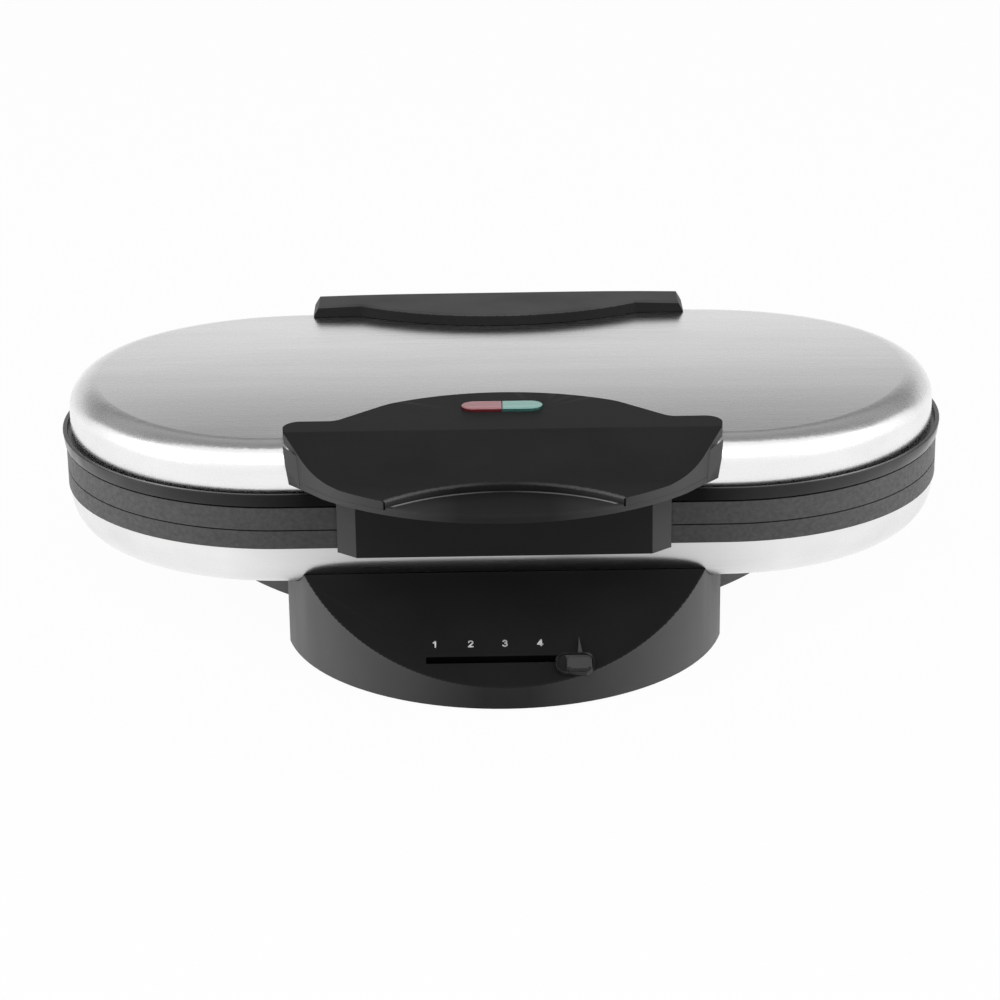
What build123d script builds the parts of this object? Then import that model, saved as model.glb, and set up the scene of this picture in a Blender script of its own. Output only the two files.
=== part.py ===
from build123d import *
from math import acos, asin, atan2, cos, degrees, hypot, radians, sin, sqrt
import os

# Double waffle iron: two heart waffle moulds side by side in a long oval body that stands on a
# black base, under a brushed steel lid that opens on a hinge at the back. A handle with a thumb
# recess hangs over the front, above a sloping control panel with a temperature slider.
# Front is -Y. The origin is on the table, under the middle of the whole outline.

# Plan of the body: two round ends joined by straight sides
end_x = 103.0            # middle of the body to the centre of each round end
body_r = 112.0           # radius of the round ends at the lid frame's lip
front_reach = 163.0      # body centre to the front of the handle and of the front housing
rear_reach = 143.0       # body centre to the back of the hinge barrel
body_y = (front_reach - rear_reach) / 2

# Heights, from the table up
foot_h = 1.0             # how far the rubber feet stand out below the base
base_h = 36.5            # underside of the base to the underside of the lower shell
shell_h = 22.1           # lower shell, underside to rim
lower_band = 8.7         # visible edge of the lower plate
closing_gap = 0.6        # between the two plates when the lid is shut
upper_band = 10.7        # visible edge of the upper plate
frame_gap = 0.8          # shadow line between upper plate and lid frame
frame_h = 6.3            # outside height of the lid frame
groove_depth = 2.7       # groove behind the lid frame's lip
ledge_t = 2.0            # ledge of the lid frame that the lid cover stands on
cover_h = 27.8           # lid cover, rim to the top of its dome

tray_z = foot_h
shell_z = tray_z + base_h
lower_rim_z = shell_z + shell_h
lower_top_z = lower_rim_z + lower_band
upper_low_z = lower_top_z + closing_gap
upper_band_z = upper_low_z + upper_band
frame_z = upper_band_z + frame_gap
lip_z = frame_z + frame_h
cover_rim_z = lip_z - groove_depth
upper_back_z = cover_rim_z - ledge_t
plate_t = upper_back_z - upper_low_z
lower_back_z = lower_top_z - plate_t
cover_top_z = cover_rim_z + cover_h

# Wall thicknesses and clearances
sheet_t = 0.8            # steel of the two shells
wall = 2.5               # moulded plastic
fit = 0.3                # gap between pieces that lie against each other
snug = 0.2               # gap between a moulding and the steel that it hugs
pin_gap = 0.05           # radial gap of pins and screws in their holes
over = 1.0               # how far a cut runs past the surface that it opens
spare = 5.0              # how far a blank runs past what is cut from it

# Steel shells
lip_t = 2.2
groove_w = 1.8
pan_r = body_r - lip_t - groove_w
lid_corner = 14.0        # rounding between side and top of the lid
lid_dome = 1500.0        # the lid's dome, front to back
lid_crown = 12500.0      # and its slighter crown, end to end
shell_corner = 18.0

# Plates
band_inset = 1.5         # edge of the plates behind the lid frame's lip
band_r = body_r - band_inset
shell_r = band_r - 1.1
nest_r = pan_r - sheet_t - 2 * fit
mould_x = 97.0           # middle to the centre of each mould
heart_reach = 86.0       # mould centre to the outside of the hearts
lobe_r = 21.5            # round lobes of a heart
hearts = 5
heart_wall = 3.0         # between two hearts
join_r = 64.0            # from the mould's centre, where lower walls leave the hearts joined
web_depth = 3.5          # rim of the plate to the tops of walls and studs
mould_depth = 8.5        # rim of the plate to the floor of the hearts
stud = 5.2               # side of a stud
stud_pitch = 11.5
stud_margin = 2.0        # least space round a stud
gutter_gap = 4.0         # hearts to the gutter that catches batter
gutter_w = 3.0
gutter_depth = 1.2
thin_t = 5.0             # plate outside the moulds, where its back is hollowed
thin_r = 94.0            # plan radius of that hollow, inside the rim
thin_gap = 2.0           # and from the hearts to it

# Heating elements, shields and screws
heater_r = 3.4
heater_x = 150.0
heater_y = 62.0
heater_bend = 58.0
lead_bend = 9.0
lead_x = 12.0            # the two cold ends
lead_y = 88.0
shield_gap = 8.0         # plate's back to the heat shield
shield_t = 0.6
shield_r = 96.0
fix_x = 86.0             # long screws through the base and the lower shell
fix_y = 80.0
boss_r = 5.5
screw_r = 1.6
head_r = 3.2
head_h = 1.8
recess_w = 0.9           # cross in a screw's head
recess_deep = 1.0
long_screw = 14.0
shield_screw = 7.0
plate_screw = 8.0
side_screw = 11.0
cover_screw = 12.0
rear_screw = 13.0
short_screw = 3.4
grip_screw = 7.0
end_hole = 1.0           # hole beyond the end of a screw

# Front housing and its control panel
front_arc = 105.0        # plan radius of the front housing
handle_arc = 115.7       # plan radius of the handle's front
handle_arc_x = 76.0      # its half width, where the wings' round corners start
housing_x = 102.5        # half width of the front housing
blank_z = 58.0           # height of the block that the base is cut from
panel_y = -104.0         # the panel's plane at the shell
panel_z = 46.3
panel_front_z = 11.3     # the same plane at the front of the housing
slot_x = -1.0
slot_y = -149.3
slot_w = 3.2
slot_end = 3.6           # slot beyond the outer settings
setting_pitch = 16.0
settings = 5
edge_r = 1.2

# Slider, lever and thermostat
knob_w = 17.6
knob_d = 11.0
knob_shift = 4.2         # down the panel, from the slot to the middle of the knob
knob_base = 1.4
dish_rim = 1.2           # rim of the knob's dish
grip_w = 11.4            # raised block, off the middle of the dish
grip_d = 7.8
grip_h = 2.6
grip_x = 1.9
grip_shift = 5.6
grip_round = 1.0
pointer_x = 2.7          # pointer, from the knob's middle
pointer_tip_x = 2.2
pointer_tip = 10.8       # up the panel, from the slot
pointer_w = 3.6
pointer_t = 1.4
clip_w = 12.0            # clip under the panel that holds the knob down
clip_d = 8.0
clip_t = 1.0
stem_w = 3.0
stem_t = 1.6
lever_pivot_y = -82.0
lever_z = 6.2
lever_t = 2.0
lever_w = 11.0
fork_w = 6.6
fork_start = 63.0        # from the pivot
fork_run = 1.8           # fork beyond the stem's farthest place
shaft_r = 3.0
thermo_w = 26.0          # across
thermo_d = 22.0
thermo_h = 20.0
flange_w = 42.0
flange_t = 1.2
bush_r = 4.8
bush_h = 3.0
shaft_in = 6.0
tab_w = 6.3
tab_t = 0.8
tab_l = 8.0
probe_r = 6.0            # boss of the lower plate that the thermostat feels

# Base tray behind the front housing, and the cover below both
tray_x = 138.0
tray_arc = 157.0         # plan radius of its front
tray_arc_y = -65.0       # front of that arc
tray_back = 104.0
tray_corner = 24.0
cover_t = 3.0
post_r = 4.5             # posts that the bottom cover is screwed to
post_front_x = 74.0
post_front_y = -66.0
post_rear_x = 112.0
post_rear_y = 48.0
vent_l = 34.0
vent_w = 3.0
vent_pitch = 8.0
vents = 7
vent_x = 54.0
vent_y = 20.0
wire_r = 7.0             # holes for the wires
wire_y = 78.0

# Rear housing and hinge
rear_x = 97.0
rear_wall_y = 139.5
rear_top_z = 57.5
rear_corner = 16.0
hinge_r = 15.0           # barrel of the lid
hinge_y = rear_reach - hinge_r
hinge_z = 74.0
pin_r = 3.0
ear_r = 12.0
ear_in = 83.0            # inner face of each ear
ear_t = 11.0
ear_neck = 23.0
pin_reach = 14.0         # into the lid's barrel
rear_screw_x = 70.0
rear_screw_z = 20.0
rear_edge = 2.0

# Cord gland, where the mains lead goes in
gland_x = -60.0
gland_z = 22.0
gland_bore = 3.6
gland_r = 5.6
gland_flange_r = 8.0
gland_flange = 2.6
gland_in = 8.0

# Handle
grip_z = 90.5            # underside of the handle
wing_y = -82.4           # rear edge of the handle's wings
arch_y = -47.3           # rear edge in the middle
arch_side_x = 54.0       # half width of its round middle
arch_side_y = -61.2
arch_foot_x = 77.6       # where its straight sides meet the wings
arch_bend = 30.0
arch_round = 9.0
wing_x = 102.4           # half width at the wings' rear, and at their front corners
wing_front_x = 100.0
wing_front_y = -106.6
wing_round = 4.0
facet_at = (92.8, -110.4, 104.0)        # flat face that cuts each wing's front corner
facet_normal = (0.762, -0.605, 0.232)
handle_rear_z = 113.0    # top at the rear edge
crease_y = -97.5
crease_z = 111.5
knee_y = -120.5
knee_z = 98.0
handle_front_z = 96.6
knee_r = 42.0
crease_r = 8.0
handle_corner = 8.0
recess_x = 54.0          # half width of the thumb recess
recess_y = -129.5        # back of the recess in the middle
recess_edge = 1.4
handle_seam_z = 93.2     # between the handle's two shells
rim_z = 94.0             # front rim of the lower shell
rim_w = 3.0
handle_blank = 42.0      # height of the block that the top shell is cut from

# Apron below the handle
apron_z = 58.2
apron_y = -120.0
apron_x = 68.0
apron_back_x = 77.0
apron_back_y = -112.4
boss_w = 10.0            # blocks in the handle for its screws
boss_l = 12.0
grip_screw_x = 82.0
grip_screw_y = -113.0

# Indicator lamps
lens_w = 19.0
lens_d = 11.0
lens_h = 1.5             # above the handle
lens_y = -68.0
lens_seat = 1.2          # below the handle's surface
lens_end = 6.0           # length of its pointed end
lens_split = 0.15        # half the joint between the two colours
pipe_r = 2.2             # light pipe below each lens
lamp_r = 2.4
lamp_l = 9.0
holder_w = 38.0
holder_d = 10.0
holder_h = 11.0

# Hinge cover on the lid
hinge_cover_x = 96.0
cover_wing_y = 91.0
cover_arch_y = 67.0
cover_arch_x = 71.0
hinge_cover_z = 116.2
cover_back_y = 108.0     # where the top turns down to the hinge
cover_crown_r = 2300.0
slant_w = 3.0            # slanted ends
slant_h = 6.0
back_round = 8.0
cover_edge = 1.5
notch_z = 20.0           # above the hinge axis, room for the ears
side_screw_x = 60.0
side_screw_z = 94.8
duct_x = 78.0

# Steel brackets inside the lid, front and back
bracket_x = 90.0
bracket_t = 1.5
bracket_top_z = 97.4
bracket_foot = 9.5
bracket_gap = 0.4
bracket_screw_x = 80.0
bracket_screw_y = 101.8
end_screw_x = 205.0
ledge_r = 98.0           # inner edge of the frame's ledge
rim_tuck = 0.9           # frame's lower edge behind its lip

# Feet
foot_r = 9.0
foot_seat = 1.2
foot_front_x = 64.0
foot_front_y = -122.0
foot_rear_x = 112.0
foot_rear_y = 80.0

# Wiring pieces in the rear housing
block_w = 40.0           # terminal block
block_d = 14.0
block_h = 16.0
clamp_w = 20.0           # cord clamp
clamp_d = 6.0
clamp_h = 25.0
fuse_r = 2.5
fuse_l = 14.0
fuse_x = 60.0
fuse_y = 74.0

# What follows from the dimensions above
arc_y = front_arc - front_reach
handle_arc_y = handle_arc - front_reach
handle_side_y = handle_arc_y - sqrt(handle_arc**2 - handle_arc_x**2)
panel_slope = (panel_z - panel_front_z) / (front_reach + panel_y)
panel_tilt = degrees(atan2(panel_z - panel_front_z, front_reach + panel_y))
panel_normal = (0, -sin(radians(panel_tilt)), cos(radians(panel_tilt)))
panel = Plane(origin=(0, body_y + panel_y, panel_z), x_dir=(1, 0, 0), z_dir=panel_normal)
slot_z = panel_z + panel_slope * (slot_y - panel_y)
travel = setting_pitch * (settings - 1)
rest_x = slot_x + travel / 2
deck_z = shell_z - snug - wall
lever_turn = degrees(atan2(travel / 2, lever_pivot_y - slot_y))
lever_reach = hypot(travel / 2, lever_pivot_y - slot_y) + fork_run
barrel_x = ear_in - fit
handle_slope = (handle_rear_z - crease_z) / (arch_y - crease_y)
lens_z = crease_z + handle_slope * (lens_y - crease_y)
recess_side_y = handle_arc_y - sqrt(handle_arc**2 - recess_x**2)
recess_sag = recess_y - recess_side_y
recess_r = (recess_x**2 + recess_sag**2) / (2 * recess_sag)
leg_y = pan_r - sheet_t - bracket_gap
holder_z = cover_top_z - sheet_t - (abs(lens_y) + holder_d) ** 2 / (2 * lid_dome) - snug
upside_down = Rot(180, 0, 0)
turned_over = Rot(0, 180, 0)      # about the Y axis, so that the clovers of both plates match


def level(z):
    """Horizontal plane at height z, centred on the body."""
    return Plane((0, body_y, z))


def section(x):
    """Upright plane at x. Its own x runs along +Y from the body's centre and its own y is up."""
    return Plane(origin=(x, body_y, 0), x_dir=(0, 1, 0), z_dir=(1, 0, 0))


def tangent_point(px, py, cx, cy, r, side):
    """Where the line from a point touches a circle; side is 1 or -1."""
    d = hypot(px - cx, py - cy)
    turn = atan2(py - cy, px - cx) + side * acos(r / d)
    return cx + r * cos(turn), cy + r * sin(turn)


def save(build, name):
    """Labels a finished piece and writes it as its own file."""
    build.part.label = name
    export_step(build.part, f"parts/{name}.step")


def lid_form(extra):
    """The lid cover's outer form, grown on every side by a clearance."""
    top_z = cover_top_z + extra
    with BuildPart() as dome:
        with BuildSketch(section(0)):
            with BuildLine():
                reach = body_r + spare
                end = (reach, top_z - lid_dome + sqrt(lid_dome**2 - reach**2))
                ThreePointArc((-reach, end[1]), (0, top_z), end)
                Polyline(end, (reach, 0), (-reach, 0), (-reach, end[1]))
            make_face()
        turn = 2 * degrees((end_x + body_r + spare) / lid_crown)
        axis = Axis((0, 0, top_z - lid_crown), (0, 1, 0))
        revolve(axis=axis, revolution_arc=turn)
    middle = dome.part.rotate(axis, -turn / 2)
    with BuildPart() as form:
        with BuildSketch(level(cover_rim_z - extra)):
            SlotCenterToCenter(2 * end_x, 2 * (pan_r + extra))
        extrude(amount=cover_h + spare)
        add(middle, mode=Mode.INTERSECT)
        fillet(form.faces().sort_by(Axis.Z)[-1].edges(), lid_corner + extra)
    return form.part


def shell_form(extra, rim_z):
    """The lower shell's outer form, grown on every side by a clearance, up to a chosen rim."""
    with BuildPart() as form:
        with BuildSketch(level(shell_z - extra)):
            SlotCenterToCenter(2 * end_x, 2 * (shell_r + extra))
        extrude(amount=rim_z - shell_z + extra)
        fillet(form.faces().sort_by(Axis.Z)[0].edges(), shell_corner + extra)
    return form.part


def places(points, z):
    """The given points on a level, as locations."""
    return [level(z) * Pos(x, y, 0) for x, y in points]


def side_screws(side):
    """Screws from inside the lid through its side wall, at the front (-1) or the back (1)."""
    y = body_y + side * (leg_y - bracket_t)
    return [
        Plane((x, y, side_screw_z), z_dir=(0, -side, 0)).location
        for x in (-side_screw_x, side_screw_x)
    ]


def thermostat_screws():
    """Screws from below through the thermostat's flange into the deck."""
    ear = (flange_w + thermo_w) / 4
    spots = [(slot_x - ear, lever_pivot_y), (slot_x + ear, lever_pivot_y)]
    return [spot * upside_down for spot in places(spots, deck_z - flange_t)]


def rear_screws():
    """Screws from inside the base through its back wall into the rear housing."""
    y = body_y + tray_back - wall
    return [
        Plane((x, y, rear_screw_z), z_dir=(0, -1, 0)).location for x in (-rear_screw_x, rear_screw_x)
    ]


def grip_screws():
    """Screws from below that hold the handle's two shells together."""
    spots = [(-grip_screw_x, grip_screw_y), (grip_screw_x, grip_screw_y)]
    return [spot * upside_down for spot in places(spots, grip_z)]


def screw_set(name, spots, length):
    """Screws with their heads standing on the given places and their shanks below them."""
    with BuildPart() as screws:
        with Locations(*spots):
            Cylinder(head_r, head_h, align=(Align.CENTER, Align.CENTER, Align.MIN))
            Cylinder(screw_r, length, align=(Align.CENTER, Align.CENTER, Align.MAX))
        with Locations(*[spot * Pos(0, 0, head_h) for spot in spots]):
            Box(head_r, recess_w, 2 * recess_deep, mode=Mode.SUBTRACT)
            Box(recess_w, head_r, 2 * recess_deep, mode=Mode.SUBTRACT)
    save(screws, name)


def base_outline(inset):
    """Plan of the base: the front housing's arc, and behind it the tray's flatter one."""
    with BuildSketch() as tray:
        with Locations((0, tray_arc + tray_arc_y)):
            Circle(tray_arc)
        with Locations((0, tray_back)):
            Rectangle(2 * tray_x, 2 * tray_arc, align=(Align.CENTER, Align.MAX), mode=Mode.INTERSECT)
        fillet(tray.vertices().group_by(Axis.Y)[-1], tray_corner)
    with BuildSketch() as outline:
        with Locations((0, arc_y)):
            Circle(front_arc)
            Rectangle(2 * housing_x, 2 * front_arc, mode=Mode.INTERSECT)
            Rectangle(2 * housing_x, front_arc, align=(Align.CENTER, Align.MIN))
        add(tray.sketch)
        if inset:
            offset(amount=-inset, kind=Kind.INTERSECTION)
    return outline.sketch


def handle_plan(inset, open_recess):
    """Plan of the handle: front arc, wings with round corners, and an arch onto the lid."""
    arc_ends = [(-handle_arc_x, handle_side_y), (handle_arc_x, handle_side_y)]
    with BuildSketch() as plan:
        with BuildLine():
            ThreePointArc(arc_ends[0], (0, -front_reach), arc_ends[1])
            ThreePointArc((-arch_side_x, arch_side_y), (0, arch_y), (arch_side_x, arch_side_y))
            for side, start in zip((-1, 1), arc_ends):
                leaving = (side * (handle_arc_y - handle_side_y), handle_arc_x)
                TangentArc(start, (side * wing_front_x, wing_front_y), tangent=leaving)
                Polyline(
                    (side * wing_front_x, wing_front_y), (side * wing_x, wing_y),
                    (side * arch_foot_x, wing_y), (side * arch_side_x, arch_side_y)
                )
        make_face()
        corners = (
            (wing_front_x, wing_front_y, wing_round),
            (wing_x, wing_y, handle_corner), (arch_foot_x, wing_y, arch_round),
            (arch_side_x, arch_side_y, arch_bend)
        )
        for x, y, radius in corners:
            for side in (-1, 1):
                fillet(plan.vertices().sort_by_distance((side * x, y))[0], radius)
        if open_recess:
            add(recess_plan(), mode=Mode.SUBTRACT)
        if inset:
            offset(amount=-inset, kind=Kind.INTERSECTION)
    return plan.sketch


def handle_side(depth):
    """Side view of the handle, with its top lowered by a depth."""
    with BuildSketch() as view:
        with BuildLine():
            rear = (arch_y + depth, handle_rear_z + handle_slope * depth - depth)
            front_y = -front_reach - depth
            Polyline(
                (rear[0], 0), rear, (crease_y, crease_z - depth), (knee_y, knee_z - depth),
                (front_y, handle_front_z - depth), (front_y, 0), close=True
            )
        make_face()
        fillet(view.vertices().sort_by_distance((crease_y, crease_z - depth))[0], crease_r)
        fillet(view.vertices().sort_by_distance((knee_y, knee_z - depth))[0], knee_r)
    return view.sketch


def apron_plan(inset):
    """Plan of the apron under the handle, with its front and sides moved in by a wall."""
    with BuildSketch() as plan:
        with BuildLine():
            Polyline(
                (-apron_back_x + 1.5 * inset, apron_back_y), (-apron_x + inset / 2, apron_y + inset),
                (apron_x - inset / 2, apron_y + inset), (apron_back_x - 1.5 * inset, apron_back_y),
                close=True
            )
        make_face()
    return plan.sketch


def lens_plan(side, extra):
    """Plan of one half of the lamp lens, grown by a clearance."""
    with BuildSketch() as plan:
        with Locations((side * (lens_w - lens_end), lens_y)):
            Ellipse(lens_end + extra, lens_d / 2 + extra)
        with Locations((side * (lens_w - lens_end + lens_split) / 2, lens_y)):
            Rectangle(lens_w - lens_end - lens_split + 2 * extra, lens_d + 2 * extra)
        with Locations((side * (lens_split - extra), lens_y)):
            other_half = Align.MIN if side < 0 else Align.MAX
            Rectangle(lens_w, 2 * lens_d, align=(other_half, Align.CENTER), mode=Mode.SUBTRACT)
    return plan.sketch


def hinge_profile(inset):
    """Side view of the hinge cover and its barrel, moved in by a wall."""
    touch = tangent_point(cover_back_y, hinge_cover_z, hinge_y, hinge_z, hinge_r, -1)
    with BuildSketch() as view:
        with BuildLine():
            Polyline(
                (cover_arch_y - wall, lip_z + fit), (cover_arch_y - wall, hinge_cover_z),
                (cover_back_y, hinge_cover_z), touch, (hinge_y, hinge_z),
                (body_r + fit, hinge_z), (body_r + fit, lip_z + fit), close=True
            )
        make_face()
        fillet(view.vertices().sort_by_distance((cover_back_y, hinge_cover_z))[0], back_round)
        with Locations((hinge_y, hinge_z)):
            Circle(hinge_r)
        if inset:
            offset(amount=-inset, kind=Kind.INTERSECTION)
    return view.sketch


def hinge_cover_front():
    """Plan of what lies in front of the hinge cover: straight wings and an arch between them."""
    with BuildSketch() as plan:
        with BuildLine():
            ThreePointArc((-cover_arch_x, cover_wing_y), (0, cover_arch_y), (cover_arch_x, cover_wing_y))
            Polyline(
                (cover_arch_x, cover_wing_y), (body_r, cover_wing_y), (body_r, 0), (-body_r, 0),
                (-body_r, cover_wing_y), (-cover_arch_x, cover_wing_y)
            )
        make_face()
    return plan.sketch


def recess_plan():
    """Plan of the thumb recess, run out past the front of the handle."""
    with BuildSketch() as plan:
        with Locations((0, recess_y - recess_r)):
            Circle(recess_r)
    return plan.sketch


def facets(depth):
    """The planes that cut the front corners of the handle's wings, moved in by a depth."""
    x, y, z = facet_at
    across, along, up = facet_normal
    return [
        Plane(origin=(side * x, body_y + y, z), z_dir=(side * across, along, up)).offset(-depth)
        for side in (-1, 1)
    ]


def brinks(form, low_z):
    """Edges above a height where a face that looks up meets a steep one."""
    over_them = []
    steep = []
    for face in form.faces():
        for edge in face.edges():
            middle = edge @ 0.5
            if middle.Z < low_z:
                continue
            rise = face.normal_at(middle).Z
            if rise > 0.5:
                over_them.append(edge)
            if abs(rise) < 0.35:
                steep.append(edge)
    return [e for e in over_them if any(e.is_same(other) for other in steep)]


def four(x, y):
    """The four points at plus and minus x and y."""
    return [(i * x, j * y) for i in (-1, 1) for j in (-1, 1)]


def heart_outline(inset):
    """One heart of the clover, tip towards the mould's centre, its axis along +X."""
    half = 180 / hearts
    lobe_reach = heart_reach - lobe_r
    spread = half - degrees(asin((lobe_r + heart_wall / 2) / lobe_reach))
    lobe_x = lobe_reach * cos(radians(spread))
    lobe_y = lobe_reach * sin(radians(spread))
    tip = (heart_wall / 2 + inset) / sin(radians(half))
    r = lobe_r - inset
    touch_x = lobe_x - r * sin(radians(half))
    touch_y = lobe_y + r * cos(radians(half))
    with BuildSketch() as outline:
        with Locations((lobe_x, lobe_y), (lobe_x, -lobe_y)):
            Circle(r)
        with BuildLine():
            Polyline(
                (tip, 0), (touch_x, touch_y), (lobe_x, lobe_y), (lobe_x, -lobe_y),
                (touch_x, -touch_y), close=True
            )
        make_face()
    return outline.face()


def stud_places():
    """Grid places whose whole stud lies inside the heart, clear of its walls."""
    room = heart_outline(stud_margin)
    count = int(heart_reach / stud_pitch) + 1
    found = []
    for i in range(count):
        for j in range(-count, count + 1):
            x = heart_reach - lobe_r / 2 - i * stud_pitch
            y = j * stud_pitch
            corners = [(x + a * stud / 2, y + b * stud / 2) for a in (-1, 1) for b in (-1, 1)]
            if all(room.is_inside((cx, cy, 0)) for cx, cy in corners):
                found.append((x, y))
    return found


def clover(shape):
    """Copies of a flat shape, one for each heart of both moulds."""
    turns = [90 + 360 / hearts * i for i in range(hearts)]
    return [Pos(side * mould_x, 0) * Rot(0, 0, turn) * shape for side in (-1, 1) for turn in turns]


def plate_form(back_t):
    """A plate lying on its back at z = 0, with its cooking face up. Its rim starts at back_t."""
    heart = heart_outline(0)
    with BuildSketch() as stud_shape:
        with Locations(*stud_places()):
            Rectangle(stud, stud)
    with BuildPart() as form:
        with BuildSketch():
            SlotCenterToCenter(2 * end_x, 2 * nest_r)
        extrude(amount=plate_t)
        with BuildSketch(Plane.XY.offset(back_t)):
            SlotCenterToCenter(2 * end_x, 2 * band_r)
        extrude(amount=plate_t - back_t)
        with BuildSketch(Plane.XY.offset(plate_t - mould_depth)):
            add(clover(heart))
        extrude(amount=mould_depth, mode=Mode.SUBTRACT)
        with BuildSketch(Plane.XY.offset(plate_t - web_depth)):
            with Locations((-mould_x, 0), (mould_x, 0)):
                Circle(join_r)
        extrude(amount=web_depth, mode=Mode.SUBTRACT)
        with BuildSketch(Plane.XY.offset(plate_t - mould_depth)):
            add(clover(stud_shape.sketch))
        extrude(amount=mould_depth - web_depth)
        with BuildSketch(Plane.XY.offset(plate_t - gutter_depth)):
            with Locations((-mould_x, 0), (mould_x, 0)):
                Circle(heart_reach + gutter_gap + gutter_w)
                Circle(heart_reach + gutter_gap, mode=Mode.SUBTRACT)
        extrude(amount=gutter_depth, mode=Mode.SUBTRACT)
        with BuildSketch():
            SlotCenterToCenter(2 * end_x, 2 * thin_r)
            with Locations((-mould_x, 0), (mould_x, 0)):
                Circle(heart_reach + thin_gap, mode=Mode.SUBTRACT)
        extrude(amount=plate_t - thin_t, mode=Mode.SUBTRACT)
    return form.part


def heater_form():
    """A tubular element: a loop round both moulds with two cold ends at the rear."""
    with BuildPart() as form:
        with BuildLine() as path:
            FilletPolyline(
                (-lead_x, lead_y), (-lead_x, heater_y), (-heater_x, heater_y),
                (-heater_x, -heater_y), (heater_x, -heater_y), (heater_x, heater_y),
                (lead_x, heater_y), (lead_x, lead_y),
                radius=[lead_bend] + [heater_bend] * 4 + [lead_bend]
            )
        with BuildSketch(Plane(path.line @ 0, z_dir=path.line % 0)):
            Circle(heater_r)
        sweep()
    return form.part


os.makedirs("parts", exist_ok=True)
frame_screws = four(bracket_screw_x, bracket_screw_y) + [(-end_screw_x, 0), (end_screw_x, 0)]
fixes = four(fix_x, fix_y)
posts = [(i * post_front_x, post_front_y) for i in (-1, 1)]
posts += [(i * post_rear_x, post_rear_y) for i in (-1, 1)]
cover_seat = tray_z + head_h + snug

# Forms that several pieces share
lid_outer = lid_form(0)
lid_inner = lid_form(-sheet_t)
lid_room = lid_form(snug)
shell_outer = shell_form(0, lower_rim_z)
shell_inner = shell_form(-sheet_t, lower_rim_z + over)
shell_room = shell_form(snug, lower_rim_z + over)
deck_room = shell_form(snug + wall, lower_rim_z + over)

# Steel shells

with BuildPart() as lid_cover:
    add(lid_outer)
    add(lid_inner, mode=Mode.SUBTRACT)
    with BuildSketch(level(cover_rim_z)):
        SlotCenterToCenter(2 * end_x, 2 * (pan_r - sheet_t))
    extrude(amount=lid_corner / 2, mode=Mode.SUBTRACT)
    with Locations(*places([(-lens_w / 2, lens_y), (lens_w / 2, lens_y)], cover_top_z)):
        Hole(pipe_r + fit, depth=lid_corner)
    with Locations(*side_screws(-1), *side_screws(1)):
        Hole(screw_r + pin_gap, depth=side_screw)
save(lid_cover, "lid_cover")

with BuildPart() as lower_shell:
    add(shell_outer)
    add(shell_inner, mode=Mode.SUBTRACT)
    with Locations(*places(fixes, lower_rim_z)):
        Hole(screw_r + pin_gap, depth=shell_h + over)
    with Locations(*places([(slot_x, lever_pivot_y)], lower_rim_z)):
        Hole(probe_r + fit, depth=shell_h + over)
    with Locations(*places([(0, wire_y)], lower_rim_z)):
        Hole(wire_r, depth=shell_h + over)
save(lower_shell, "lower_shell")

# Lid frame, with a lip round the cover and a ledge that the cover stands on

with BuildPart() as lid_frame:
    with BuildSketch(level(frame_z)):
        SlotCenterToCenter(2 * end_x, 2 * (body_r - rim_tuck))
    with BuildSketch(level(lip_z)):
        SlotCenterToCenter(2 * end_x, 2 * body_r)
    loft()
    with BuildSketch(level(cover_rim_z)):
        SlotCenterToCenter(2 * end_x, 2 * (body_r - lip_t))
    extrude(amount=frame_h, mode=Mode.SUBTRACT)
    with BuildSketch(level(frame_z)):
        SlotCenterToCenter(2 * end_x, 2 * (nest_r + fit))
    extrude(amount=upper_back_z - frame_z, mode=Mode.SUBTRACT)
    with BuildSketch(level(frame_z)):
        SlotCenterToCenter(2 * end_x, 2 * ledge_r)
    extrude(amount=frame_h, mode=Mode.SUBTRACT)
    with Locations(*places(frame_screws, cover_rim_z)):
        Hole(screw_r + pin_gap, depth=ledge_t + over)
save(lid_frame, "lid_frame")

# Baking plates. The lower one has a boss that the thermostat feels and four bosses that stand on
# the shell. The upper one has four posts that carry its heat shield.

lower_form = Pos(0, body_y, lower_back_z) * plate_form(lower_rim_z - lower_back_z)
with BuildPart() as lower_plate:
    add(lower_form)
    with BuildSketch(level(shell_z + sheet_t)):
        with Locations(*fixes):
            Circle(boss_r)
    extrude(amount=lower_back_z - shell_z - sheet_t)
    with BuildSketch(level(deck_z)):
        with Locations((slot_x, lever_pivot_y)):
            Circle(probe_r)
    extrude(amount=lower_top_z - thin_t - deck_z)
    with Locations(*[spot * upside_down for spot in places(fixes, deck_z)]):
        Hole(screw_r + pin_gap, depth=long_screw + end_hole)
save(lower_plate, "lower_plate")

upper_form = Pos(0, body_y, upper_back_z) * turned_over * plate_form(upper_back_z - upper_band_z)
with BuildPart() as upper_plate:
    add(upper_form)
    with BuildSketch(level(upper_back_z)):
        with Locations(*fixes):
            Circle(boss_r)
    extrude(amount=shield_gap)
    with Locations(*places(fixes, upper_back_z + shield_gap)):
        Hole(screw_r + pin_gap, depth=shield_screw + end_hole)
    with Locations(*places(frame_screws, upper_back_z)):
        Hole(screw_r + pin_gap, depth=plate_screw)
save(upper_plate, "upper_plate")

# Heating elements, heat shields and thermal fuses on the plates' backs

element = heater_form()
with BuildPart() as lower_heater:
    add(Pos(0, body_y, lower_back_z - heater_r - pin_gap) * element)
save(lower_heater, "lower_heater")

with BuildPart() as upper_heater:
    add(Pos(0, body_y, upper_back_z + heater_r + pin_gap) * element)
save(upper_heater, "upper_heater")

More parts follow.
